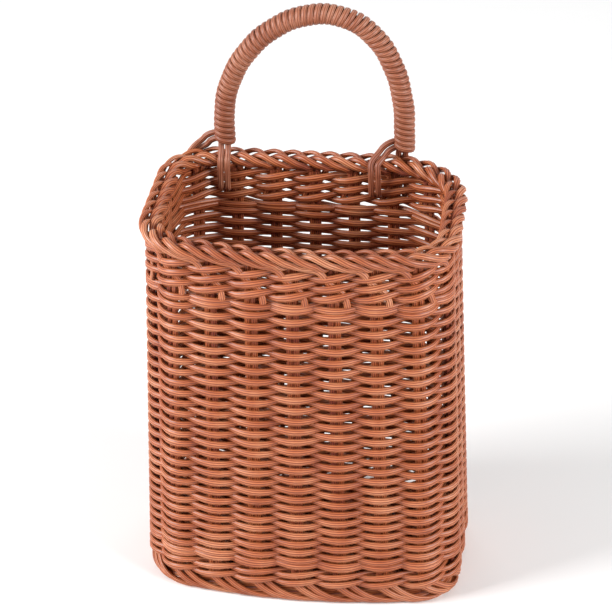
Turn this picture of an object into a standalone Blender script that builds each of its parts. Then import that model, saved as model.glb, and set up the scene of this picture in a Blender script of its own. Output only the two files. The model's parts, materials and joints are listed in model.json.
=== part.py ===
"""Wall basket woven from round plastic strand, with a wrapped handle lashed to its back rim.

Metres, +Z up, origin on the floor under the middle of the foot. The flat back faces +Y.
A place round the wall is counted in stake pitches, anticlockwise from the middle of the front.
"""
import math

import bmesh
import bpy
import numpy as np
from mathutils import Vector

# Whole basket, measured on the line through the middles of the uprights
rim_height = 0.232
rim_width = 0.163
rim_depth = 0.109
foot_width = 0.179
foot_depth = 0.110
corner_radius = 0.031
front_bow = 0.005
bow_setback_share = 0.25
upright_count = 22

# Strand
pair_width = 0.0060
strand_thickness = 0.0030
weaver_height = 0.0050
weaver_thickness = 0.0024
seat_gap = 0.0003

# Border rolled over the rim
border_radius = 0.0070
border_outset = 0.0005
border_start_angle = math.radians(-95)
border_end_angle = math.radians(82)
border_run_pitches = 3.4
border_stations = 7
tail_run_pitches = 0.75

# Wales: rows of twined strands below the rim and above the foot
wale_height = 0.0050
wale_thickness = 0.0028
wale_pitch = 0.0063
upper_wale_rows = 3
upper_wale_drop = 0.0163
foot_wale_rows = 1
foot_wale_bottom = 0.0164

# Side weaving: two strands that chase each other round the wall
course_spacing = 0.0061
lengths_per_strand = 3

# Foot border and base
foot_border_width = 0.0100
foot_border_height = 0.0080
foot_border_round = 0.0020
foot_sweep_pitches = 0.55
base_stick_count = 7
base_height = 0.0062
base_edge_clearance = 0.0060
base_row_spacing = 0.0080
base_turn_reach = 0.0050
base_weaver_width = 0.0072

# Handle
handle_half_width = 0.31 * rim_width
handle_rise = 0.0820
handle_leg = 0.0150
handle_lean = 0.0050
handle_core_radius = 0.0025
handle_core_stations = 26
handle_end_clearance = 0.0024
wrap_strand_radius = 0.0013
wrap_pitch = 0.00345
wrap_points_per_turn = 8
lashing_lean = 0.0110
lashing_drop = 0.0365
lashing_play = 0.0006
lashing_stations = 8

half_turn = math.pi
quarter_turn = half_turn / 2
outline_steps = 12


def clear_scene():
    for item in list(bpy.data.objects):
        bpy.data.objects.remove(item, do_unlink=True)


def new_collection(name):
    collection = bpy.data.collections.new(name)
    bpy.context.scene.collection.children.link(collection)
    return collection


def strand_material(name, colour, roughness):
    material = bpy.data.materials.new(name)
    material.use_nodes = True
    shader = material.node_tree.nodes["Principled BSDF"]
    shader.inputs["Base Color"].default_value = (*colour, 1.0)
    shader.inputs["Roughness"].default_value = roughness
    shader.inputs["Metallic"].default_value = 0.0
    material.diffuse_color = (*colour, 1.0)
    return material


# Plan of the wall

def rim_outline():
    """Closed plan of the rim: bowed front, straight sides and back, round corners."""
    half_width = rim_width / 2
    half_depth = rim_depth / 2
    side_run = half_width - corner_radius
    shares = [step / outline_steps for step in range(outline_steps + 1)]
    front = [(side_run * share, -half_depth - front_bow * (1 - share ** 2)) for share in shares]
    points = list(front)
    corners = ((side_run, corner_radius - half_depth, -quarter_turn),
               (side_run, half_depth - corner_radius, 0.0),
               (-side_run, half_depth - corner_radius, quarter_turn),
               (-side_run, corner_radius - half_depth, half_turn))
    for centre_x, centre_y, start in corners:
        for share in shares:
            angle = start + quarter_turn * share
            points.append((centre_x + corner_radius * math.cos(angle),
                           centre_y + corner_radius * math.sin(angle)))
    points.extend((-x, y) for x, y in reversed(front))
    return np.array(points)


outline = rim_outline()
outline_lengths = np.concatenate(([0.0], np.cumsum(np.hypot(*np.diff(outline, axis=0).T))))
outline_length = outline_lengths[-1]
stake_pitch = outline_length / upright_count


def plan_at(place):
    """Plan point on the rim line."""
    along = (place * stake_pitch) % outline_length
    return np.array([np.interp(along, outline_lengths, outline[:, 0]),
                     np.interp(along, outline_lengths, outline[:, 1])])


def outward_at(place):
    """Level unit vector that points out of the wall."""
    reach = pair_width / stake_pitch
    ahead = plan_at(place + reach) - plan_at(place - reach)
    ahead /= np.linalg.norm(ahead)
    return Vector((ahead[1], -ahead[0], 0.0))


def wall_point(place, height, out=0.0):
    """Point on the splayed wall, moved out of its middle line."""
    drop = 1 - height / rim_height
    wide = 1 + drop * (foot_width / rim_width - 1)
    deep = 1 + drop * (foot_depth / rim_depth - 1)
    x, y = plan_at(place)
    setback = front_bow * bow_setback_share
    return Vector((x * wide, y * deep + setback, height)) + outward_at(place) * out


def corner_turn(place):
    """Angle that the wall turns through between the stakes on each side of a place."""
    before = plan_at(place) - plan_at(place - 1)
    after = plan_at(place + 1) - plan_at(place)
    cross = before[0] * after[1] - before[1] * after[0]
    return math.atan2(cross, float(np.dot(before, after)))


# Strands

def pair_section():
    """Two strands side by side, as a flat six-sided section: across, out."""
    half = pair_width / 2
    face = half - strand_thickness / 2
    rise = strand_thickness / 2
    return ((half, 0.0), (face, rise), (-face, rise), (-half, 0.0), (-face, -rise), (face, -rise))


def band_section(height, thickness):
    """Flat four-sided section of a weaver: across, out."""
    tall = height / 2
    rise = thickness / 2
    return ((tall, rise), (-tall, rise), (-tall, -rise), (tall, -rise))


def cornered_section(height, thickness):
    """Four-sided section of a wale strand, with its corners up, out, down and in."""
    tall = height / 2
    half = thickness / 2
    return ((tall, 0.0), (0.0, half), (-tall, 0.0), (0.0, -half))


def loft_strand(name, stations, sections, material, collection, closed=False):
    """Strand whose section faces the direction given at each station; sections repeat in turn."""
    builder = bmesh.new()
    count = len(stations)
    rings = []
    for index, (point, facing) in enumerate(stations):
        before = stations[index - 1][0] if index or closed else point
        after = stations[(index + 1) % count][0] if index < count - 1 or closed else point
        ahead = (after - before).normalized()
        across = ahead.cross(facing).normalized()
        out = across.cross(ahead).normalized()
        section = sections[index % len(sections)]
        rings.append([builder.verts.new(point + across * a + out * b) for a, b in section])
    pairs = list(zip(rings, rings[1:]))
    if closed:
        pairs.append((rings[-1], rings[0]))
    else:
        builder.faces.new(rings[0])
        builder.faces.new(rings[-1])
    sides = len(sections[0])
    for near, far in pairs:
        for side in range(sides):
            following = (side + 1) % sides
            builder.faces.new((near[side], near[following], far[following], far[side]))
    bmesh.ops.recalc_face_normals(builder, faces=builder.faces)
    mesh = bpy.data.meshes.new(name)
    builder.to_mesh(mesh)
    builder.free()
    mesh.materials.append(material)
    strand = bpy.data.objects.new(name, mesh)
    collection.objects.link(strand)
    return strand


def tube(name, points, radius, resolution, material, collection):
    """Round tube along straight runs between points."""
    curve = bpy.data.curves.new(name, "CURVE")
    curve.dimensions = "3D"
    curve.bevel_depth = radius
    curve.bevel_resolution = resolution
    curve.use_fill_caps = True
    spline = curve.splines.new("POLY")
    spline.points.add(len(points) - 1)
    for control, point in zip(spline.points, points):
        control.co = (*point, 1.0)
    curve.materials.append(material)
    item = bpy.data.objects.new(name, curve)
    collection.objects.link(item)
    return item


# Uprights, whose upper ends roll over to make the rim border

border_centre_height = rim_height - border_radius - strand_thickness / 2
upper_wale_height = wale_pitch * upper_wale_rows
foot_wale_height = wale_pitch * foot_wale_rows
side_bottom = foot_wale_bottom + foot_wale_height
side_top = rim_height - upper_wale_drop - upper_wale_height


def border_station(place, angle, radius=border_radius):
    """Station over the rim: the angle is zero on top and grows towards the outside."""
    out = border_outset + radius * math.sin(angle)
    height = border_centre_height + radius * math.cos(angle)
    facing = outward_at(place) * math.sin(angle) + Vector((0, 0, 1)) * math.cos(angle)
    return wall_point(place, height, out), facing


def upright(number, material, collection):
    """Pair of strands: swept sideways at the foot, straight up the wall, rolled over the rim."""
    place = number - 1
    outward = outward_at(place)
    sweep = place + foot_sweep_pitches
    sweep_height = foot_border_height + seat_gap + pair_width / 2
    stations = [
        (wall_point(sweep, sweep_height), outward_at(sweep)),
        (wall_point(place, foot_wale_bottom), outward),
        (wall_point(place, rim_height - upper_wale_drop), outward),
    ]
    for step in range(border_stations + 1):
        share = step / border_stations
        angle = border_start_angle + (border_end_angle - border_start_angle) * share
        stations.append(border_station(place + border_run_pitches * share, angle))
    tail = place + border_run_pitches + tail_run_pitches
    tail_height = rim_height - upper_wale_drop + seat_gap + pair_width / 2
    stations.append((wall_point(tail, tail_height, strand_thickness), outward_at(tail)))
    loft_strand(f"upright_{number:02d}", stations, [pair_section()], material, collection)


# Side weaving and wales

pair_face = pair_width - strand_thickness
weaver_clearance = strand_thickness / 2 + weaver_thickness / 2 + seat_gap
weaver_offset = weaver_clearance * stake_pitch / (stake_pitch - pair_face)
wale_clearance = strand_thickness / 2 + wale_thickness / 2 + seat_gap
wale_offset = wale_clearance * stake_pitch / (stake_pitch - 2 * pair_face)
rounds_per_strand = int((side_top - side_bottom) / (2 * course_spacing))
course_count = 2 * rounds_per_strand
course_pitch = (side_top - side_bottom - weaver_height - 2 * seat_gap) / course_count


def weaver_station(stake, height, outside, offset):
    """Station of a weaver as it passes outside or inside a stake."""
    if outside:
        shift = offset + pair_width / 2 * math.tan(corner_turn(stake) / 2)
    else:
        shift = -offset
    return wall_point(stake, height, shift), outward_at(stake)


def weaver_height_at(step):
    """Height of a side weaver that has climbed past a number of stakes."""
    return side_bottom + seat_gap + weaver_height / 2 + 2 * course_pitch * step / upright_count


def side_weavers(material, collection):
    """Two strands that chase each other up the wall, each in lengths that meet end to end."""
    section = band_section(weaver_height, weaver_thickness)
    steps = rounds_per_strand * upright_count
    end_gap = seat_gap / stake_pitch / 2
    for strand, letter in enumerate("ab"):
        start = strand * upright_count // 2
        for length in range(lengths_per_strand):
            first = steps * length // lengths_per_strand
            last = steps * (length + 1) // lengths_per_strand
            begin = first - 0.5 + end_gap
            end = last - 0.5 - end_gap
            stations = [(wall_point(start + begin, weaver_height_at(begin)), outward_at(start + begin))]
            for step in range(first, last):
                outside = (start + step + strand) % 2 == 0
                stations.append(weaver_station(start + step, weaver_height_at(step), outside,
                                               weaver_offset))
            stations.append((wall_point(start + end, weaver_height_at(end)), outward_at(start + end)))
            name = f"side_weaver_{letter}_{length + 1}"
            loft_strand(name, stations, [section], material, collection)


def wale_row(name, height, material, collection):
    """Round of two twined strands: each passes outside every second stake, crossing between."""
    sections = [cornered_section(wale_height, wale_thickness),
                cornered_section(wale_thickness, wale_thickness)]
    lift = wale_thickness / 2 + seat_gap / 2
    for strand, letter in enumerate("ab"):
        stations = []
        for stake in range(upright_count):
            outside = (stake + strand) % 2 == 0
            stations.append(weaver_station(stake, height, outside, wale_offset))
            crossing = stake + 0.5
            shift = lift if outside else -lift
            stations.append((wall_point(crossing, height + shift), outward_at(crossing)))
        loft_strand(f"{name}_{letter}", stations, sections, material, collection, closed=True)


def wales(material, collection):
    for row in range(upper_wale_rows):
        wale_row(f"upper_wale_{row + 1}", side_top + wale_pitch * (row + 0.5), material, collection)
    for row in range(foot_wale_rows):
        wale_row(f"foot_wale_{row + 1}", foot_wale_bottom + wale_pitch * (row + 0.5),
                 material, collection)


# Foot border and base

base_edge = foot_border_width / 2 + base_edge_clearance + base_weaver_width / 2
base_stick_pitch = (foot_width - 2 * (base_edge + base_turn_reach)) / base_stick_count
base_row_span = foot_depth - 2 * base_edge
base_row_count = int(base_row_span / base_row_spacing) + 1
base_row_pitch = base_row_span / (base_row_count - 1)


def foot_border(material, collection):
    """Roll of strand ends that the basket stands on: flat below, upright inside, round outside."""
    half = foot_border_width / 2
    middle = foot_border_height / 2
    shoulder = half - foot_border_round
    cheek = middle - foot_border_round
    section = ((middle, shoulder), (cheek, half), (-cheek, half),
               (-middle, shoulder), (-middle, -half), (middle, -half))
    stations = [(wall_point(step / 2, middle), outward_at(step / 2))
                for step in range(2 * upright_count)]
    loft_strand("foot_border", stations, [section], material, collection, closed=True)


def base_reach(across, side):
    """Distance from the origin to the inner face of the foot border, at the front or the back."""
    inner = [wall_point(step / 2, base_height, -foot_border_width / 2)
             for step in range(2 * upright_count)]
    edge = sorted((point.x, abs(point.y)) for point in inner if point.y * side > 0)
    return float(np.interp(across, [x for x, y in edge], [y for x, y in edge]))


def base_sticks(material, collection):
    """Pairs of strands from front to back, each cut to reach the foot border."""
    for number in range(1, base_stick_count + 1):
        across = base_stick_pitch * (number - (base_stick_count + 1) / 2)
        ends = []
        for side in (-1, 1):
            reach = min(base_reach(across + edge * pair_width / 2, side) for edge in (-1, 0, 1))
            ends.append((Vector((across, side * (reach - seat_gap), base_height)), Vector((0, 0, 1))))
        loft_strand(f"base_stick_{number}", ends, [pair_section()], material, collection)


def base_weaver(material, collection):
    """One strand that runs to and fro across the base, over and under its sticks."""
    section = band_section(base_weaver_width, weaver_thickness)
    lift = weaver_clearance * base_stick_pitch / (base_stick_pitch - pair_face)
    half_sticks = (base_stick_count - 1) / 2
    stations = []
    up = Vector((0, 0, 1))
    for row in range(base_row_count):
        along = base_row_pitch * (row - (base_row_count - 1) / 2)
        way = 1 if row % 2 == 0 else -1
        for stick in range(base_stick_count):
            across = way * base_stick_pitch * (stick - half_sticks)
            over = lift if (stick + row) % 2 == 0 else -lift
            stations.append((Vector((across, along, base_height + over)), up))
        turn = way * base_stick_pitch * (half_sticks + 0.5)
        stations.append((Vector((turn, along, base_height)), up))
        if row < base_row_count - 1:
            bulge = turn + way * base_turn_reach
            stations.append((Vector((bulge, along + base_row_pitch / 2, base_height)), up))
            stations.append((Vector((turn, along + base_row_pitch, base_height)), up))
    loft_strand("base_weaver", stations, [section], material, collection)


# Handle and its lashings

lashing_radius = border_radius + strand_thickness + lashing_play
pivot_height = border_centre_height + lashing_radius
pivot_back = wall_point(upright_count / 2, pivot_height, border_outset).y


def handle_outline(foot):
    """Middle line of the handle above its pivot: two legs and a leaning arch, left to right."""
    arch_rise = handle_rise - handle_leg
    arch_base = handle_end_clearance + handle_leg
    steps = outline_steps ** 2
    points = [Vector((-handle_half_width, 0, foot))]
    for step in range(steps + 1):
        angle = half_turn * (1 - step / steps)
        across = handle_half_width * math.cos(angle) + handle_lean * math.sin(angle) ** 2
        points.append(Vector((across, 0, arch_base + arch_rise * math.sin(angle))))
    points.append(Vector((handle_half_width, 0, foot)))
    return points


def even_points(points, count):
    """Points at even distances along a line."""
    lengths = [0.0]
    for near, far in zip(points, points[1:]):
        lengths.append(lengths[-1] + (far - near).length)
    result = []
    coordinates = [[point[axis] for point in points] for axis in range(3)]
    for step in range(count):
        along = lengths[-1] * step / (count - 1)
        result.append(Vector([float(np.interp(along, lengths, values)) for values in coordinates]))
    return result


def handle_wrap_points():
    """Helix round the handle, from foot to foot."""
    line = handle_outline(handle_end_clearance + wrap_strand_radius)
    length = sum((far - near).length for near, far in zip(line, line[1:]))
    count = int(length / wrap_pitch) * wrap_points_per_turn + 1
    middle = even_points(line, count)
    coil_radius = handle_core_radius + wrap_strand_radius + seat_gap
    coil_radius /= math.cos(half_turn / wrap_points_per_turn)
    points = []
    for index, point in enumerate(middle):
        before = middle[max(index - 1, 0)]
        after = middle[min(index + 1, count - 1)]
        ahead = (after - before).normalized()
        side = Vector((0, 1, 0))
        inward = ahead.cross(side)
        angle = 2 * half_turn * index / wrap_points_per_turn
        points.append(point + side * (coil_radius * math.cos(angle)) +
                      inward * (coil_radius * math.sin(angle)))
    return points


def print_least_gap(points, radius):
    """Least clear distance between turns of the wrap, measured between its points and runs."""
    least = None
    for index, point in enumerate(points):
        first = index + wrap_points_per_turn // 2
        last = min(index + 2 * wrap_points_per_turn, len(points) - 1)
        for near, far in zip(points[first:last], points[first + 1:last + 1]):
            run = far - near
            share = max(0.0, min(1.0, (point - near).dot(run) / run.length_squared))
            distance = (point - near - run * share).length - 2 * radius
            if least is None or distance < least:
                least = distance
    print(f"least gap between turns of the handle wrap: {least:.5f} m")


def handle(core_material, wrap_material, collection):
    """Core and wrap on a pivot that lies across the back rim, through the crests of the lashings."""
    pivot = bpy.data.objects.new("handle_pivot", None)
    pivot.location = (0, pivot_back, pivot_height)
    collection.objects.link(pivot)
    line = even_points(handle_outline(handle_end_clearance), handle_core_stations)
    core = tube("handle_core", line, handle_core_radius, 2, core_material, collection)
    core.parent = pivot
    turns = handle_wrap_points()
    print_least_gap(turns, wrap_strand_radius)
    wrap = tube("handle_wrap", turns, wrap_strand_radius, 1, wrap_material, collection)
    wrap.parent = pivot


def lashing(name, foot_x, inner_lean, outer_lean, material, collection):
    """Pair of strands that straddles the back rim: up inside, under the handle, down outside."""
    middle = upright_count / 2 - foot_x / stake_pitch
    inner = middle + inner_lean / stake_pitch
    outer = middle + outer_lean / stake_pitch
    seat = wale_offset + wale_thickness / 2 + strand_thickness / 2 + seat_gap
    knee = rim_height - upper_wale_drop
    bottom = rim_height - lashing_drop
    stations = [(wall_point(inner, bottom, -seat), -outward_at(inner)),
                (wall_point(inner, knee, -seat), -outward_at(inner))]
    for step in range(lashing_stations + 1):
        share = 2 * step / lashing_stations - 1
        lean = outer - middle if share > 0 else inner - middle
        place = middle + lean * abs(share)
        stations.append(border_station(place, quarter_turn * share, lashing_radius))
    stations.append((wall_point(outer, knee, seat), outward_at(outer)))
    stations.append((wall_point(outer, bottom, seat), outward_at(outer)))
    loft_strand(name, stations, [pair_section()], material, collection)


def main():
    clear_scene()
    parts = new_collection("wall_basket")
    upright_material = strand_material("upright_strand", (0.38, 0.13, 0.065), 0.42)
    weaver_material = strand_material("weaver_strand", (0.42, 0.15, 0.078), 0.40)
    wale_material = strand_material("wale_strand", (0.44, 0.165, 0.088), 0.40)
    base_material = strand_material("base_strand", (0.30, 0.095, 0.045), 0.45)
    core_material = strand_material("core_strand", (0.24, 0.075, 0.035), 0.50)
    wrap_material = strand_material("wrap_strand", (0.43, 0.17, 0.098), 0.38)
    for number in range(1, upright_count + 1):
        upright(number, upright_material, parts)
    side_weavers(weaver_material, parts)
    wales(wale_material, parts)
    foot_border(upright_material, parts)
    base_sticks(base_material, parts)
    base_weaver(base_material, parts)
    handle(core_material, wrap_material, parts)
    lashing("lashing_left", -handle_half_width, 0.0, lashing_lean, wrap_material, parts)
    lashing("lashing_right", handle_half_width, lashing_lean, 0.0, wrap_material, parts)


main()
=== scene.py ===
"""Looks of the woven wall basket: every strand of its weave, border, foot and handle.

Metres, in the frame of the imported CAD. The flat back faces +Y.
A place round the wall is counted in stake pitches, anticlockwise from the middle of the front.
"""
import json
import math

import bmesh
import bpy
import numpy as np
from mathutils import Matrix, Vector


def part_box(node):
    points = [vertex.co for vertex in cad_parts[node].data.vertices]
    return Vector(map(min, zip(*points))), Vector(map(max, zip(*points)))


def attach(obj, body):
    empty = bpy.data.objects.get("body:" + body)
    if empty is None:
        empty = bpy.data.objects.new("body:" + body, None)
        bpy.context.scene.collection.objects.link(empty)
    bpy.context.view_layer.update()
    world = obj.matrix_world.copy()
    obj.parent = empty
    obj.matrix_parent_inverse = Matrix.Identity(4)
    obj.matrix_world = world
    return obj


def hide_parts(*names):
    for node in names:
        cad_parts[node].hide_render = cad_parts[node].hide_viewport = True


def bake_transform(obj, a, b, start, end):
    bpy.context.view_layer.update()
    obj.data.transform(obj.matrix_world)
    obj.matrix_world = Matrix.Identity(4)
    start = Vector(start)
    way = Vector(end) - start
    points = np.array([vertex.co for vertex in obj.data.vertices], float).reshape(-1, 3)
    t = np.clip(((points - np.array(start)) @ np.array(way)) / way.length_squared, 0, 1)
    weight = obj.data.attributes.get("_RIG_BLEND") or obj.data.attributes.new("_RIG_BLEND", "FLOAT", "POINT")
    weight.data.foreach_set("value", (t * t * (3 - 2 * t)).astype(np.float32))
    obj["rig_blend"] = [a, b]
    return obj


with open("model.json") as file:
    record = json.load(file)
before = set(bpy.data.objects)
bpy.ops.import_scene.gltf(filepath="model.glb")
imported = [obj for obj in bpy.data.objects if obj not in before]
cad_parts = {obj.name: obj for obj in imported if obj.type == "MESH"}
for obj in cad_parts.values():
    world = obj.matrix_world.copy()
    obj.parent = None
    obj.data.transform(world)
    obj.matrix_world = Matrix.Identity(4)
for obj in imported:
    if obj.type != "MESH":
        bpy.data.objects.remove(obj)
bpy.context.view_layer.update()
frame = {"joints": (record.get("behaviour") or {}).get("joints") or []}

# Wall of the basket, on the line through the middles of the stakes
rim_height = 0.232
rim_width = 0.163
rim_depth = 0.109
foot_width = 0.179
foot_depth = 0.110
front_left_radius = 0.031
front_right_radius = 0.026
back_right_radius = 0.040
back_left_radius = 0.026
front_bow = 0.005
setback = front_bow / 4
stake_count = 22
outline_steps = 24
outline_shares = np.linspace(0, 1, outline_steps + 1)
outward_reach = 0.25

# Unevenness of hand work: waves round the basket, and how far each is moved by the seed
wobble_waves = ((3, 1.0), (7, 2.3), (11, 4.1))

# Strand: flattened plastic cane with fine ridges along it, drawn in at its cut ends
strand_width = 0.0036
strand_thickness = 0.0025
pair_spacing = 0.0033
ridge_sides = 16
span_stations = 24
weld_distance = 0.000004
cut_end_share = 0.55
cut_end_length = 0.0006
cut_end_limit = 0.9

# Grooves: their distance from the middle as a share of the ridges', and the strength of the painted shade in
# them
deep_relief = (0.80, 1.0)
shallow_relief = (0.86, 0.88)

# Woven strands: narrower where they pass between two stakes, and darkened there with painted shade
tuck_darkening = 0.5
tuck_length = 0.30
narrow_share = 0.80
widening_share = 0.20

# Stakes: pairs of strands, darkened with painted shade in the wall, where they are deep in the weave
stake_strand_width = 0.0037
stake_strand_spacing = 0.0034
stake_heights = (0.05, 0.09, 0.13, 0.17)
stake_start_below_band = 0.002
stake_steps = 3
stake_shade = -0.9

# Shoulder: a stake strand turns inwards above the top band, on its way to the border
shoulder_spread = 1.2
shoulder_rise = 0.0016
shoulder_out = -0.0006
shoulder_run = 0.6
shoulder_turn = 0.3
shoulder_dip = 0.0022

# Border: every stake strand rolls over the rim alone, half a stake pitch apart
border_radius = 0.0051
border_outset = 0.0005
border_start = math.radians(-105)
border_end = math.radians(100)
border_lead = 0.15
border_stagger = 0.5
border_unevenness = 0.04
border_seed = 1.0
border_run = 2.0
border_steps = 28
border_smoothing = 2
border_width = 0.0039
border_valley = 0.0034
border_valley_angle = math.radians(19)
border_swell = 0.0011
border_dive = 0.0008
border_dive_start = 1.25
border_dive_length = 0.5

# Parts of the border darkened with painted shade where they are tucked: middle and length of each, as shares
# of the run
border_tucks = ((0.0, 0.12), (0.51, 0.08))
border_tuck_shade = -0.8

# Past the border: run, turn and dip, for the strand that goes on as a tail and for the other
border_finishes = (((0.16, 0.35, 0.0008),), ((0.14, 0.6, 0.0008), (0.24, 1.3, 0.0016)))
tail_reach = 0.6

# Bands of twined strands
wale_pitch = 0.0063
wale_drop = 0.0115
wale_rows = 3
wale_swing = 0.0029
wale_flatness = 0.2
wale_lift = 0.0017
wale_width = 0.0048
wale_unevenness = 0.00025
wale_seed = 2.0
# Top bands: their strands painted darker, as painted shade for the deep gaps between their rows
wale_shaded_tone = 0.3
wale_tone_spread = 0.4
foot_wale_pitch = 0.0053
foot_wale_rows = 2
foot_wale_bottom = 0.0122
foot_wale_width = 0.0042
foot_wale_lift = 0.0011
foot_wale_seed = 7.0

# Side weave
weave_rounds = 28
weave_start = 6
weave_swing = 0.0028
weave_flatness = 0.1
weave_sag = 0.0005
weave_width = 0.0047
weave_squeeze = 0.12
weave_unevenness = 0.00035
weave_seed = 5.0
weave_tone = 0.5
weave_tone_spread = 0.15
weave_streak = 0.25
weave_streak_seed = 3.0
weave_rise = 0.0008
weave_steps = 6
level_rounds = 1.5
level_share = 0.8
lengths_per_strand = 3

# Levels that follow from these
border_centre = rim_height - border_radius - strand_thickness / 2
wale_top = rim_height - wale_drop
side_top = wale_top - wale_pitch * wale_rows
side_bottom = foot_wale_bottom + foot_wale_pitch * foot_wale_rows

# Tail outside the top band: run from its stake, height, distance out, and run where its face is set
tail_line = ((-0.44, wale_top + 0.0022, 0.0036, -0.4), (-0.27, wale_top - 0.0006, 0.0030, -0.3),
             (-0.10, wale_top - 0.0070, 0.0015, 0.0), (0.24, side_top + 0.0050, 0.0010, 0.0),
             (0.33, side_top - 0.0024, 0.0026, 0.0))

# Foot: run sideways in stake pitches, height, distance out of the wall and turn of the face in degrees
foot_line = ((0.0, 0.0140, -0.0006, 0), (0.14, 0.0112, 0.0000, 0), (0.38, 0.0074, 0.0010, 6),
             (0.64, 0.0044, 0.0010, 16), (0.92, 0.0026, 0.0002, 34), (1.25, 0.0018, -0.0012, 62),
             (1.65, 0.0026, -0.0026, 105), (2.15, 0.0046, -0.0034, 150), (2.65, 0.0068, -0.0032, 178),
             (3.10, 0.0088, -0.0026, 184))
foot_strand_shift = 0.17
foot_strand_width = 0.0042
foot_unevenness = 0.03
foot_seed = 2.0
foot_steps = 5

# Floor of the basket: sticks from front to back, and one strand woven through them
base_height = 0.0062
base_inset = 0.004
base_stick_count = 7
base_stick_pitch = 0.01997
base_middle_stick = (base_stick_count - 1) / 2
base_stick_steps = 8
base_row_pitch = 0.0034
base_row_count = 29
base_row_inset = 0.003
base_row_sample = 0.0034
base_row_swing = 0.0029
base_row_reach = 0.45
base_turn_reach = 0.0022
base_outline_samples = 4

# Handle
pivot_back, pivot_height = frame["joints"][0]["pos_m"][1:]
handle_half_width = 0.0515
handle_centre = -0.0020
handle_rise = 0.0820
handle_leg = 0.0150
handle_lean = 0.0068
handle_end_clearance = 0.0024
handle_arch_steps = 144
core_radius = 0.0037
core_stations = 90
# The core's tone: painted shade, dark where it shows between the turns of the wrap
core_painted_shade = -0.8
wrap_turns = 61
wrap_steps = 14
wrap_start = 0.0014
wrap_radius = 0.0053
wrap_thickness = 0.0017
wrap_tilt = 0.0006
wrap_cover = 1.0
wrap_ripple = 0.00012
wrap_ripple_rate = 0.37
wrap_unevenness = 0.0001
wrap_unevenness_steps = 40
wrap_seed = 3.0
wrap_tone = 0.5

# Lashings: a pair of strands inside the rim and a pair outside it, at each foot of the handle
lashing_radius = border_radius + strand_thickness + 0.0003
lashing_seat = 0.0068
lashing_spacing = 0.0039
lashing_width = 0.0036
lashing_steps = 4

# Out of the wrap: sideways, back and up for each knot, then turns over the rim in degrees
slanting_start = (((0.0010, 0.0000, 0.0070), (0.0058, 0.0006, 0.0062), (0.0098, 0.0014, 0.0040),
                   (0.0128, 0.0026, 0.0004)), (55, 95))
straight_start = (((0.0, 0.0008, 0.0110), (0.0, 0.0016, 0.0060)), (30, 65, 95))

# Down the wall: drop below the top of the band, and distance from the middle line of the wall
lashing_drops = ((-0.001, lashing_seat + 0.0004), (0.0050, lashing_seat), (0.0092, lashing_seat - 0.0008),
                 (0.0118, 0.0034), (0.0132, 0.0004))

# Name, side, and distance from the foot to where the inner and the outer pair cross the rim
lashing_feet = (("left", -1, 0.0020, -0.0140), ("right", 1, -0.0145, -0.0005))

# Cane: colours from the deepest shade, a brown for painted shade, to the lightest, and roughness
painted_shade_brown = (0.20, 0.030, 0.006)
stake_look = ((painted_shade_brown, (0.36, 0.090, 0.026), (0.48, 0.148, 0.054), (0.60, 0.255, 0.125)), 0.42)
weave_look = ((painted_shade_brown, (0.36, 0.088, 0.025), (0.48, 0.146, 0.053), (0.60, 0.255, 0.125)), 0.40)
wrap_look = ((painted_shade_brown, (0.24, 0.064, 0.027), (0.34, 0.114, 0.055), (0.45, 0.196, 0.113)), 0.50)
floor_look = ((painted_shade_brown, (0.26, 0.060, 0.020), (0.36, 0.095, 0.034), (0.45, 0.150, 0.065)), 0.44)
shade_places = (0.14, 0.42, 0.70, 1.0)
tone_strength = 0.40
cloud_scale = 60.0
cloud_detail = 4.0
# Painted shade in the grooves: the colour it multiplies by, and the groove strengths where it starts and
# where it is full
groove_shade = (0.33, 0.12, 0.055)
groove_edge = 0.25
groove_bottom = 0.95
grain_scale = 900.0
grain_detail = 3.0
grain_depth = 0.0001
grain_strength = 0.20
smoother_by = 0.09
rougher_by = 0.12
dull_below = 0.15
clean_above = 0.50
dull_roughness = 0.40
cane_gloss = 0.50

# Studio
paper_colour = (0.93, 0.93, 0.93)
paper_roughness = 0.9
floor_reach = 1.6
white = (1, 1, 1, 1)
fill_strength = 0.20
seen_strength = 1.0

# Softboxes: name, place, target, width and height, power
softboxes = (("left_light", (-1.65, -0.70, 0.95), (0, 0, 0.15), (0.9, 1.1), 60.0),
             ("right_light", (1.55, -0.75, 0.85), (0, 0, 0.15), (0.9, 1.1), 38.0),
             ("back_light", (0.0, 1.4, 1.6), (0, 0.3, 0.0), (1.6, 0.8), 10.0))

# Camera: its scale is in photograph pixels to the metre at the target
photo_width = 612
camera_azimuth = math.radians(8.0)
camera_elevation = math.radians(31.0)
camera_roll = math.radians(-1.0)
camera_distance = 1.4
camera_scale = 1760.0
camera_target = Vector((-0.0006, 0.0, 0.150))
camera_rise = 0.0119
camera_sensor = 36.0
camera_nearest = 0.05
camera_farthest = 50.0

quarter_turn = math.pi / 2
upward = Vector((0, 0, 1))
backward = Vector((0, 1, 0))
batches = np.random.default_rng(22)


# Plan of the wall

def front_edge(radius):
    """Bowed front from its middle to where a corner of this radius starts."""
    run = rim_width / 2 - radius
    return [(run * share, -rim_depth / 2 - front_bow * (1 - share ** 2)) for share in outline_shares]


def rim_outline():
    """Closed plan of the rim: bowed front, straight sides and back, corners as uneven as woven."""
    half_width = rim_width / 2
    half_depth = rim_depth / 2
    points = front_edge(front_right_radius)
    corners = ((1, -1, front_right_radius, -quarter_turn), (1, 1, back_right_radius, 0.0),
               (-1, 1, back_left_radius, quarter_turn), (-1, -1, front_left_radius, 2 * quarter_turn))
    for side_x, side_y, radius, start in corners:
        for share in outline_shares:
            angle = start + quarter_turn * share
            points.append((side_x * (half_width - radius) + radius * math.cos(angle),
                           side_y * (half_depth - radius) + radius * math.sin(angle)))
    points.extend((-x, y) for x, y in reversed(front_edge(front_left_radius)))
    return np.array(points)


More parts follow.
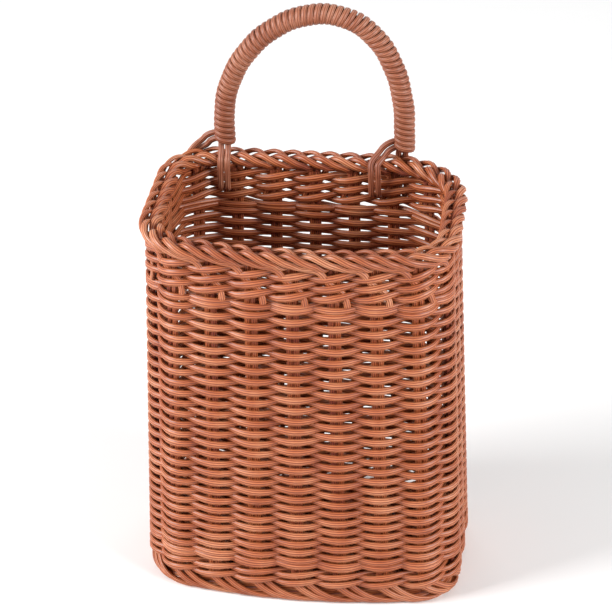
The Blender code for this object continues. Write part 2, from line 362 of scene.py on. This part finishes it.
outline = rim_outline()
outline_lengths = np.concatenate(([0.0], np.cumsum(np.hypot(*np.diff(outline, axis=0).T))))
outline_length = outline_lengths[-1]
stake_pitch = outline_length / stake_count


def plan_at(place):
    """Point of the rim's plan at a place round it."""
    along = (place * stake_pitch) % outline_length
    return np.array([np.interp(along, outline_lengths, outline[:, 0]),
                     np.interp(along, outline_lengths, outline[:, 1])])


def outward_at(place):
    """Level direction out of the wall."""
    ahead = plan_at(place + outward_reach) - plan_at(place - outward_reach)
    ahead /= np.linalg.norm(ahead)
    return Vector((ahead[1], -ahead[0], 0.0))


def wall_point(place, height, out=0.0):
    """Point on the splayed wall, moved out of its middle line."""
    drop = 1 - height / rim_height
    x, y = plan_at(place)
    x *= 1 + drop * (foot_width / rim_width - 1)
    y *= 1 + drop * (foot_depth / rim_depth - 1)
    return Vector((x, y + setback, height)) + outward_at(place) * out


def wobble(place, seed):
    """Slow unevenness of hand work, from -1 to 1."""
    turn = place * math.tau / stake_count
    return sum(math.sin(waves * turn + move * seed) for waves, move in wobble_waves) / len(wobble_waves)


def smooth_step(share):
    """Share that starts and stops softly, held between 0 and 1."""
    share = min(1.0, max(0.0, share))
    return share * share * (3 - 2 * share)


# Strands

def strand_builder():
    """Empty mesh builder with the two attributes that the cane's material reads."""
    builder = bmesh.new()
    # groove holds the strength of painted shade in the hollows between ridges; tone holds each strand's tone
    # with painted shade added
    builder.verts.layers.float.new("groove")
    builder.verts.layers.float.new("tone")
    return builder


def place_ring(point, ahead, facing, width, thickness):
    """Matrix that puts the ring of a strand at a station, its flat face turned to facing."""
    across = ahead.cross(facing).normalized()
    out = across.cross(ahead).normalized()
    matrix = Matrix.Identity(4)
    matrix.col[0] = (*(across * width / 2), 0)
    matrix.col[1] = (*(out * thickness / 2), 0)
    matrix.col[2] = (*(ahead * thickness / 2), 0)
    matrix.col[3] = (*point, 1)
    return matrix


def draw_span(matrices, tones, relief):
    """Stretch of ridged strand: one ring drawn from station to station."""
    builder = strand_builder()
    groove = builder.verts.layers.float["groove"]
    shade = builder.verts.layers.float["tone"]
    ring = bmesh.ops.create_circle(builder, segments=ridge_sides, radius=1.0)["verts"]
    hollows = ring[::2]
    share, strength = relief
    bmesh.ops.scale(builder, vec=(share, share, 1.0), verts=hollows)
    for vertex in ring:
        vertex[shade] = tones[0]
    for vertex in hollows:
        vertex[groove] = strength
    bmesh.ops.transform(builder, matrix=matrices[0], verts=ring)
    edges = list(builder.edges)
    for before, after, tone in zip(matrices, matrices[1:], tones[1:]):
        grown = bmesh.ops.extrude_edge_only(builder, edges=edges)["geom"]
        ring = {item for item in grown if isinstance(item, bmesh.types.BMVert)}
        edges = [item for item in grown if isinstance(item, bmesh.types.BMEdge)
                 and item.verts[0] in ring and item.verts[1] in ring]
        bmesh.ops.transform(builder, matrix=after @ before.inverted(), verts=list(ring))
        for vertex in ring:
            vertex[shade] = tone
    return builder


def draw_strand(stations, tone, closed=False, relief=deep_relief):
    """Mesh of one strand through stations of point, facing, width, thickness and shift of tone, the shift
    being painted shade, with streaks of tone in the side weave.
    """
    count = len(stations)
    matrices = []
    tones = []
    for index, (point, facing, width, thickness, shift) in enumerate(stations):
        tones.append(tone + shift)
        before = stations[index - 1][0] if index or closed else point
        after = stations[(index + 1) % count][0] if index < count - 1 or closed else point
        matrices.append(place_ring(point, (after - before).normalized(), facing, width, thickness))
    if closed:
        matrices.append(matrices[0])
        tones.append(tones[0])
    joined = strand_builder()
    part = bpy.data.meshes.new("span")
    for start in range(0, len(matrices) - 1, span_stations):
        finish = start + span_stations + 1
        span = draw_span(matrices[start:finish], tones[start:finish], relief)
        span.to_mesh(part)
        span.free()
        joined.from_mesh(part)
    bpy.data.meshes.remove(part)
    bmesh.ops.remove_doubles(joined, verts=joined.verts, dist=weld_distance)
    bmesh.ops.holes_fill(joined, edges=joined.edges)
    bmesh.ops.recalc_face_normals(joined, faces=joined.faces)
    mesh = bpy.data.meshes.new("strand")
    joined.to_mesh(mesh)
    joined.free()
    return mesh


def round_ends(stations):
    """Draws a strand in at both ends, as a cut end is slightly rounded."""
    result = list(stations)
    for end in (0, -1):
        point, facing, width, thickness, shift = result[end]
        result[end] = (point, facing, width * cut_end_share, thickness * cut_end_share, shift)
    for end, beside in ((0, 1), (-1, -2)):
        length = (result[beside][0] - result[end][0]).length
        inner = result[end][0].lerp(result[beside][0], min(cut_end_limit, cut_end_length / length))
        result.insert(1 if end == 0 else -1, (inner, *result[beside][1:]))
    return result


def side_by_side(stations, spacing):
    """Two lines of stations beside a middle one."""
    lines = ([], [])
    last = len(stations) - 1
    for index, (point, facing, width, thickness, shift) in enumerate(stations):
        ahead = stations[min(index + 1, last)][0] - stations[max(index - 1, 0)][0]
        across = ahead.cross(facing).normalized()
        for line, side in zip(lines, (-0.5, 0.5)):
            line.append((point + across * spacing * side, facing, width, thickness, shift))
    return lines


def smooth_stations(knots, steps, width=strand_width, shade=0.0):
    """Stations along a smooth line through knots of point and facing."""
    last = len(knots) - 1
    result = []
    for index in range(last):
        points = [knots[min(max(index + beside, 0), last)][0] for beside in (-1, 0, 1, 2)]
        for step in range(steps + (index == last - 1)):
            share = step / steps
            point = 0.5 * ((2 * points[1]) + (points[2] - points[0]) * share +
                           (2 * points[0] - 5 * points[1] + 4 * points[2] - points[3]) * share ** 2 +
                           (3 * points[1] - points[0] - 3 * points[2] + points[3]) * share ** 3)
            facing = knots[index][1].lerp(knots[index + 1][1], share).normalized()
            result.append((point, facing, width, strand_thickness, shade))
    return result


def strand_tone(middle=0.5, spread=1.0):
    """Tone of one strand, since no two come from the same batch."""
    return middle + spread * float(batches.uniform(-0.5, 0.5))


def make_piece(name, strands, material, nodes, body="basket"):
    """Joins strands into one piece that stands for CAD nodes."""
    builder = strand_builder()
    for strand in strands:
        builder.from_mesh(strand)
        bpy.data.meshes.remove(strand)
    for face in builder.faces:
        face.smooth = True
    mesh = bpy.data.meshes.new(name)
    builder.to_mesh(mesh)
    builder.free()
    mesh.materials.append(material)
    piece = bpy.data.objects.new(name, mesh)
    bpy.context.scene.collection.objects.link(piece)
    if body:
        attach(piece, body)
    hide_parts(*nodes)
    return piece


# Border and stakes

def border_knot(place, angle, radius):
    """Point and facing over the rim: the angle is zero on top and grows towards the outside."""
    out = border_outset + radius * math.sin(angle)
    height = border_centre + radius * math.cos(angle)
    facing = outward_at(place) * math.sin(angle) + upward * math.cos(angle)
    return wall_point(place, height, out), facing


def border_pass(start):
    """Knots of one strand over the rim: a petal inside, a dip along the top, a petal outside."""
    knots = []
    for step in range(border_steps + 1):
        share = step / border_steps
        angle = border_start + (border_end - border_start) * share
        valley = border_valley * math.exp(-(angle / border_valley_angle) ** 2)
        swell = border_swell * math.sin(2 * angle) ** 2
        dive = border_dive * smooth_step((abs(angle) - border_dive_start) / border_dive_length)
        radius = border_radius - valley + swell - dive
        knots.append(border_knot(start + border_run * share, angle, radius))
    return knots


def wall_knots(place, side, start):
    """Knots of one stake strand up the wall and over its shoulder to the start of its border."""
    out = outward_at(place)
    heights = (foot_wale_bottom - stake_start_below_band, *stake_heights, wale_top)
    knots = [(wall_point(place + side, height), out) for height in heights]
    knots.append((wall_point(place + side * shoulder_spread, wale_top + shoulder_rise, shoulder_out), out))
    knots.append(border_knot(place + shoulder_run * (start - place), border_start - shoulder_turn,
                             border_radius - shoulder_dip))
    return knots


def finish_knots(finish, strand):
    """Knots past the border: strand 0 lies outside the top band as a tail, strand 1 turns in."""
    knots = [border_knot(finish + run, border_end + turn, border_radius - dip)
             for run, turn, dip in border_finishes[strand]]
    if strand == 0:
        stake = round(finish + tail_reach)
        knots.extend((wall_point(stake + run, height, out), outward_at(stake + face_run))
                     for run, height, out, face_run in tail_line)
    return knots


def stake_strand(number, strand):
    """Stations of one strand of a pair: up the wall, over the rim, and down or in at its end."""
    place = number - 1
    side = (strand - 0.5) * stake_strand_spacing / stake_pitch
    stagger = strand * border_stagger
    start = place + border_lead + stagger + border_unevenness * wobble(place + stagger, border_seed)
    wall = wall_knots(place, side, start)
    stations = smooth_stations(wall, stake_steps, stake_strand_width, stake_shade)[:-1]
    roll = [wall[-1], *border_pass(start), *finish_knots(start + border_run, strand)]
    for index, station in enumerate(smooth_stations(roll, border_smoothing, border_width)[1:]):
        along = index / border_smoothing / border_steps
        tucked = max(math.exp(-((along - middle) / length) ** 2) for middle, length in border_tucks)
        stations.append((*station[:4], border_tuck_shade * tucked))
    return stations


def stakes(material):
    """Every pair of stake strands, each pair one piece from the foot to the tail."""
    for number in range(1, stake_count + 1):
        strands = [draw_strand(round_ends(stake_strand(number, strand)), strand_tone())
                   for strand in range(2)]
        make_piece(f"stake_pair_{number:02d}", strands, material,
                   [f"upright_{number:02d}"])


# Side weave and bands

def tuck_shade(wave):
    """Painted shade: a darker tone where a woven strand passes between two stakes."""
    return -tuck_darkening * math.exp(-(wave / tuck_length) ** 2)


def woven_width(full_width, wave):
    """Width of a woven strand: full on a stake, narrower between two."""
    return full_width * (narrow_share + widening_share * wave ** 2)


def flattened(wave, flatness):
    """Wave in and out of the stakes, flatter where the strand lies on one."""
    return wave * (1 + flatness - flatness * wave ** 2)


def weave_height(rounds, place):
    """Height of the side weave after a number of rounds, packed tighter towards the foot."""
    level_start = smooth_step(rounds / level_rounds)
    level_finish = smooth_step((rounds - weave_rounds + level_rounds) / level_rounds)
    share = (rounds - level_share * (level_start + level_finish)) / (weave_rounds - 2 * level_share)
    packed = share + weave_squeeze * (share ** 2 - share)
    height = side_bottom + weave_width / 2 + (side_top + weave_rise - side_bottom - weave_width) * packed
    return height + weave_unevenness * wobble(place, weave_seed * rounds)


def side_weave_stations(strand, first, last):
    """One length of a side strand, over one stake and under the next."""
    start = weave_start + strand * stake_count // 2
    stations = []
    for step in range(first, last + 1):
        place = start + step / weave_steps
        rounds = step / weave_steps / stake_count
        wave = math.cos(math.pi * (place + strand))
        height = weave_height(rounds, place) - weave_sag * wave
        point = wall_point(place, height, weave_swing * flattened(wave, weave_flatness))
        # Painted shade where the strand passes between stakes, with streaks of tone along the row
        shade = tuck_shade(wave) + weave_streak * wobble(place, weave_streak_seed * rounds)
        width = woven_width(weave_width, wave)
        stations.append((point, outward_at(place), width, strand_thickness, shade))
    return stations


def side_weave(material):
    """Two strands that chase each other round the wall, each worked in three lengths."""
    steps = stake_count * weave_rounds * weave_steps
    ends = [steps * length // lengths_per_strand for length in range(lengths_per_strand + 1)]
    for strand, letter in enumerate("ab"):
        for length, (first, last) in enumerate(zip(ends, ends[1:]), 1):
            stations = side_weave_stations(strand, first, last)
            mesh = draw_strand(stations, strand_tone(weave_tone, weave_tone_spread))
            make_piece(f"side_weave_{letter}_{length}", [mesh], material,
                       [f"side_weaver_{letter}_{length}"])


def twined_stations(height, lead, full_width, lift, seed):
    """One closed strand of a twined row: outside every second stake, rising as it goes in."""
    stations = []
    for step in range(stake_count * weave_steps):
        place = step / weave_steps
        wave = math.cos(math.pi * (place + lead))
        climb = math.sin(math.pi * (place + lead))
        level = height + lift * climb + wale_unevenness * wobble(place, seed)
        point = wall_point(place, level, wale_swing * flattened(wave, wale_flatness))
        width = woven_width(full_width, wave)
        stations.append((point, outward_at(place), width, strand_thickness, tuck_shade(wave)))
    return stations


def wales(material):
    """Three twined rows below the rim and two above the foot."""
    for row in range(wale_rows):
        height = side_top + wale_pitch * (row + 0.5)
        for lead, letter in enumerate("ab"):
            stations = twined_stations(height, lead, wale_width, wale_lift, wale_seed * row + lead)
            strand = draw_strand(stations, strand_tone(wale_shaded_tone, wale_tone_spread), True)
            make_piece(f"top_band_{row + 1}_{letter}", [strand], material,
                       [f"upper_wale_{row + 1}_{letter}"])
    for lead, letter in enumerate("ab"):
        strands = []
        for row in range(foot_wale_rows):
            height = foot_wale_bottom + foot_wale_pitch * (row + 0.5)
            seed = foot_wale_seed + row + lead
            stations = twined_stations(height, lead, foot_wale_width, foot_wale_lift, seed)
            strands.append(draw_strand(stations, strand_tone(), True))
        make_piece(f"foot_band_{letter}", strands, material, [f"foot_wale_1_{letter}"])


# Foot and base

def foot_knots(start):
    """Lower end of one stake strand, swept sideways and rolled under the wall."""
    knots = []
    for run, height, out, tilt in foot_line:
        turn = math.radians(tilt)
        facing = outward_at(start + run) * math.cos(turn) - upward * math.sin(turn)
        knots.append((wall_point(start + run, height, out), facing))
    return knots


def foot_roll(material):
    """Rolled edge that the basket stands on, of two strands for each stake."""
    strands = []
    for number in range(stake_count):
        for side in (-1, 1):
            start = number + side * foot_strand_shift + foot_unevenness * wobble(number + side, foot_seed)
            stations = smooth_stations(foot_knots(start), foot_steps, foot_strand_width)
            strands.append(draw_strand(round_ends(stations), strand_tone()))
    make_piece("foot_roll", strands, material, ["foot_border"])


def base_sticks(material):
    """Pairs of sticks from front to back."""
    for number in range(base_stick_count):
        across = base_stick_pitch * (number - base_middle_stick)
        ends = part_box(f"base_stick_{number + 1}")
        knots = [(Vector((across, end.y, base_height)), upward) for end in ends]
        tone = strand_tone()
        strands = [draw_strand(round_ends(line), tone)
                   for line in side_by_side(smooth_stations(knots, base_stick_steps), pair_spacing)]
        make_piece(f"floor_stick_{number + 1}", strands, material,
                   [f"base_stick_{number + 1}"])


def base_reach(along):
    """Half width of the floor of the basket at a distance along its depth."""
    inner = [wall_point(step / base_outline_samples, base_height, -base_inset)
             for step in range(base_outline_samples * stake_count)]
    side = sorted((point.y, point.x) for point in inner if point.x > 0)
    return float(np.interp(along, [y for y, x in side], [x for y, x in side]))


def base_weave(material):
    """One strand woven to and fro through the sticks."""
    stations = []
    for row in range(base_row_count):
        along = base_row_pitch * (row - (base_row_count - 1) / 2)
        way = 1 if row % 2 == 0 else -1
        reach = base_reach(along) - base_row_inset
        samples = int(2 * reach / base_row_sample)
        for sample in range(samples + 1):
            across = way * reach * (2 * sample / samples - 1)
            wave = math.cos(math.pi * (across / base_stick_pitch + row))
            inside = abs(across) < base_stick_pitch * (base_middle_stick + base_row_reach)
            lift = base_row_swing * wave if inside else 0.0
            point = Vector((across, along, base_height + lift))
            stations.append((point, upward, strand_width, strand_thickness, 0.0))
        turn = Vector((way * (reach + base_turn_reach), along + base_row_pitch / 2, base_height))
        stations.append((turn, upward, strand_width, strand_thickness, 0.0))
    strand = draw_strand(stations[:-1], strand_tone())
    make_piece("floor_weave", [strand], material, ["base_weaver"])


# Handle and lashings

def handle_line(foot, count):
    """Even points on the middle line of the handle: two legs and half an ellipse, left to right."""
    arch_base = handle_end_clearance + handle_leg
    arch_rise = handle_rise - handle_leg
    points = [(handle_centre - handle_half_width, foot)]
    for step in range(handle_arch_steps + 1):
        angle = math.pi * (1 - step / handle_arch_steps)
        across = (handle_centre + handle_half_width * math.cos(angle)
                  + handle_lean * math.sin(angle) ** 2)
        points.append((across, arch_base + arch_rise * math.sin(angle)))
    points.append((handle_centre + handle_half_width, foot))
    points = np.array(points)
    lengths = np.concatenate(([0.0], np.cumsum(np.hypot(*np.diff(points, axis=0).T))))
    even = np.linspace(0, lengths[-1], count)
    return [Vector((np.interp(along, lengths, points[:, 0]), pivot_back,
                    pivot_height + np.interp(along, lengths, points[:, 1]))) for along in even]


def handle_rod(material):
    """Stiff core of the handle, painted dark as the shade under its wrap."""
    line = handle_line(handle_end_clearance, core_stations)
    core = [(point, backward, 2 * core_radius, 2 * core_radius, 0.0) for point in line]
    make_piece("handle_rod", [draw_strand(core, core_painted_shade)], material,
               ["handle_core"], "handle")


def handle_winding(material):
    """One strand wound round the core from foot to foot."""
    count = wrap_turns * wrap_steps + 1
    middle = handle_line(handle_end_clearance + wrap_start, count)
    turn_pitch = (middle[1] - middle[0]).length * wrap_steps
    stations = []
    for index, point in enumerate(middle):
        ahead = (middle[min(index + 1, count - 1)] - middle[max(index - 1, 0)]).normalized()
        inward = ahead.cross(backward)
        angle = -math.tau * index / wrap_steps
        facing = backward * math.cos(angle) + inward * math.sin(angle)
        ripple = wrap_ripple * math.sin(index * wrap_ripple_rate)
        radius = wrap_radius + ripple + wrap_unevenness * wobble(index / wrap_unevenness_steps, wrap_seed)
        point = point + facing * radius + ahead * wrap_tilt * math.sin(angle)
        stations.append((point, facing, turn_pitch * wrap_cover, wrap_thickness, 0.0))
    winding = draw_strand(round_ends(stations), wrap_tone, relief=shallow_relief)
    make_piece("handle_winding", [winding], material, ["handle_wrap"], "handle")


def lashing_knots(foot_x, rim_x, side):
    """Line of one pair, out of the wrap, over the rim and down a side of the wall: 1 is outside."""
    rim_place = stake_count / 2 - rim_x / stake_pitch
    lean = rim_x - foot_x
    way = math.copysign(1.0, lean)
    starts, angles = slanting_start if abs(lean) > wrap_radius else straight_start
    knots = [(Vector((foot_x + way * across, pivot_back + side * back, pivot_height + up)), backward * side)
             for across, back, up in starts]
    out = outward_at(rim_place)
    for angle in angles:
        turn = math.radians(angle)
        height = border_centre + lashing_radius * math.cos(turn)
        point = wall_point(rim_place, height, border_outset + side * lashing_radius * math.sin(turn))
        knots.append((point, out * side * math.sin(turn) + upward * math.cos(turn)))
    for drop, seat in lashing_drops:
        knots.append((wall_point(rim_place, wale_top - drop, side * seat), out * side))
    return knots


def lashings(material):
    """Two loops of paired strand that hold the feet of the handle to the back rim."""
    for name, side_x, inner_shift, outer_shift in lashing_feet:
        foot_x = handle_centre + side_x * handle_half_width
        strands = []
        for shift, side in ((inner_shift, -1), (outer_shift, 1)):
            knots = lashing_knots(foot_x, foot_x + shift, side)
            stations = smooth_stations(knots, lashing_steps, lashing_width)
            tone = strand_tone()
            for line in side_by_side(stations, lashing_spacing):
                strands.append(draw_strand(round_ends(line), tone))
        piece = make_piece(f"lashing_loop_{name}", strands, material,
                           [f"lashing_{name}"], body=None)
        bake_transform(piece, "basket", "handle", start=(0, pivot_back, pivot_height - 0.004),
                 end=(0, pivot_back, pivot_height + 0.005))


# Materials

def fill_inputs(tree, node, inputs):
    """Gives each input of a node its value, or joins it to another node's output."""
    for name, value in inputs.items():
        if isinstance(value, bpy.types.NodeSocket):
            tree.links.new(value, node.inputs[name])
        else:
            node.inputs[name].default_value = value


def noise(tree, scale, detail):
    """Noise that is fixed to the object."""
    place = tree.nodes.new("ShaderNodeTexCoord")
    cloud = tree.nodes.new("ShaderNodeTexNoise")
    fill_inputs(tree, cloud, {"Vector": place.outputs["Object"], "Scale": scale, "Detail": detail})
    return cloud.outputs["Fac"]


def strand_attribute(tree, name):
    """Number that each strand carries along its surface."""
    attribute = tree.nodes.new("ShaderNodeAttribute")
    attribute.attribute_name = name
    return attribute.outputs["Fac"]


def map_range(tree, inputs):
    """Number moved from one range to another."""
    node = tree.nodes.new("ShaderNodeMapRange")
    fill_inputs(tree, node, inputs)
    return node


def math_step(tree, operation, inputs):
    """One sum on numbers of a material."""
    node = tree.nodes.new("ShaderNodeMath")
    node.operation = operation
    fill_inputs(tree, node, inputs)
    return node.outputs[0]


def cane_colour(tree, shade, colours):
    """Colour of a shade, darker and redder down in the grooves as painted shade."""
    ramp = tree.nodes.new("ShaderNodeValToRGB")
    stops = ramp.color_ramp.elements
    stops[0].position = shade_places[0]
    stops[1].position = shade_places[-1]
    for position in shade_places[1:-1]:
        stops.new(position)
    for stop, colour in zip(stops, colours):
        stop.color = (*colour, 1)
    fill_inputs(tree, ramp, {"Fac": shade})
    depth = map_range(tree, {"Value": strand_attribute(tree, "groove"), "From Min": groove_edge,
                             "From Max": groove_bottom})
    depth.interpolation_type = "SMOOTHSTEP"
    shaded = tree.nodes.new("ShaderNodeMix")
    shaded.data_type = "RGBA"
    shaded.blend_type = "MULTIPLY"
    fill_inputs(tree, shaded, {"Factor": depth.outputs["Result"], "A": ramp.outputs["Color"],
                               "B": (*groove_shade, 1)})
    return shaded.outputs["Result"]


def cane_roughness(tree, shade, grain, roughness):
    """Roughness that follows the grain, and is duller in the deepest shades."""
    gloss = map_range(tree, {"Value": grain, "To Min": roughness - smoother_by,
                             "To Max": roughness + rougher_by})
    dull = map_range(tree, {"Value": shade, "From Min": dull_below, "From Max": clean_above,
                            "To Min": dull_roughness, "To Max": 0.0})
    return math_step(tree, "ADD", {0: gloss.outputs["Result"], 1: dull.outputs["Result"]})


def cane(name, look):
    """Ridged plastic cane: its tone varies at random from strand to strand and along each, and painted shade
    darkens it in the grooves and where a strand is tucked or deep in the weave.
    """
    colours, roughness = look
    material = bpy.data.materials.new(name)
    material.use_nodes = True
    tree = material.node_tree
    shade = math_step(tree, "MULTIPLY_ADD", {0: strand_attribute(tree, "tone"), 1: tone_strength,
                                             2: noise(tree, cloud_scale, cloud_detail)})
    grain = noise(tree, grain_scale, grain_detail)
    bump = tree.nodes.new("ShaderNodeBump")
    fill_inputs(tree, bump, {"Height": grain, "Strength": grain_strength, "Distance": grain_depth})
    fill_inputs(tree, tree.nodes["Principled BSDF"],
                {"Base Color": cane_colour(tree, shade, colours),
                 "Roughness": cane_roughness(tree, shade, grain, roughness),
                 "Specular IOR Level": cane_gloss,
                 "Normal": bump.outputs["Normal"]})
    return material


# Studio

def paper():
    """Matt pale paper of the studio floor."""
    material = bpy.data.materials.new("floor_paper")
    material.use_nodes = True
    fill_inputs(material.node_tree, material.node_tree.nodes["Principled BSDF"],
                {"Base Color": (*paper_colour, 1), "Roughness": paper_roughness})
    return material


def studio_floor():
    """Pale floor under the basket, which isn't part of it."""
    builder = bmesh.new()
    bmesh.ops.create_grid(builder, x_segments=1, y_segments=1, size=floor_reach)
    mesh = bpy.data.meshes.new("studio_floor")
    builder.to_mesh(mesh)
    builder.free()
    mesh.materials.append(paper())
    ground = bpy.data.objects.new("studio_floor", mesh)
    bpy.context.scene.collection.objects.link(ground)


def world_light():
    """White seen by the camera and in gloss, a dimmer fill on the object."""
    world = bpy.data.worlds.new("studio")
    world.use_nodes = True
    bpy.context.scene.world = world
    tree = world.node_tree
    fill = tree.nodes["Background"]
    fill_inputs(tree, fill, {"Color": white, "Strength": fill_strength})
    seen = tree.nodes.new("ShaderNodeBackground")
    fill_inputs(tree, seen, {"Color": white, "Strength": seen_strength})
    path = tree.nodes.new("ShaderNodeLightPath")
    shows = path.outputs["Is Camera Ray"]
    for ray in ("Is Transmission Ray", "Is Glossy Ray"):
        shows = math_step(tree, "MAXIMUM", {0: shows, 1: path.outputs[ray]})
    mix = tree.nodes.new("ShaderNodeMixShader")
    fill_inputs(tree, mix, {"Fac": shows, 1: fill.outputs[0], 2: seen.outputs[0]})
    fill_inputs(tree, tree.nodes["World Output"], {"Surface": mix.outputs[0]})


def turn_towards(item, place, target):
    """Puts a lamp or camera at a place and points it at a target."""
    item.location = place
    item.rotation_mode = "QUATERNION"
    item.rotation_quaternion = (target - place).to_track_quat("-Z", "Y")
    bpy.context.scene.collection.objects.link(item)


def lamps():
    """Soft rectangular lamps around the basket."""
    for name, place, target, size, power in softboxes:
        light = bpy.data.lights.new(name, "AREA")
        light.shape = "RECTANGLE"
        light.size, light.size_y = size
        light.energy = power
        turn_towards(bpy.data.objects.new(name, light), Vector(place), Vector(target))


def camera():
    """Camera at the photograph's angle, aimed so that the basket fills the same part of the frame."""
    back = Vector((math.sin(camera_azimuth) * math.cos(camera_elevation),
                   -math.cos(camera_azimuth) * math.cos(camera_elevation),
                   math.sin(camera_elevation)))
    right = Vector((math.cos(camera_azimuth), math.sin(camera_azimuth), 0))
    up = back.cross(right)
    data = bpy.data.cameras.new("view")
    data.sensor_width = camera_sensor
    data.lens = camera_scale * camera_distance / photo_width * data.sensor_width
    data.clip_start = camera_nearest
    data.clip_end = camera_farthest
    viewer = bpy.data.objects.new("view", data)
    turn_towards(viewer, camera_target + back * camera_distance, camera_target + up * camera_rise)
    roll = Matrix.Rotation(camera_roll, 4, "Z").to_quaternion()
    viewer.rotation_quaternion = viewer.rotation_quaternion @ roll
    bpy.context.scene.camera = viewer


def main():
    """Makes every piece, then the studio."""
    stake_cane = cane("stake_cane", stake_look)
    weave_cane = cane("weave_cane", weave_look)
    wrap_cane = cane("wrap_cane", wrap_look)
    floor_cane = cane("floor_cane", floor_look)
    stakes(stake_cane)
    side_weave(weave_cane)
    wales(weave_cane)
    foot_roll(stake_cane)
    base_sticks(floor_cane)
    base_weave(floor_cane)
    handle_rod(floor_cane)
    handle_winding(wrap_cane)
    lashings(wrap_cane)
    studio_floor()
    world_light()
    lamps()
    camera()
    bpy.context.scene.view_settings.view_transform = "Standard"


main()
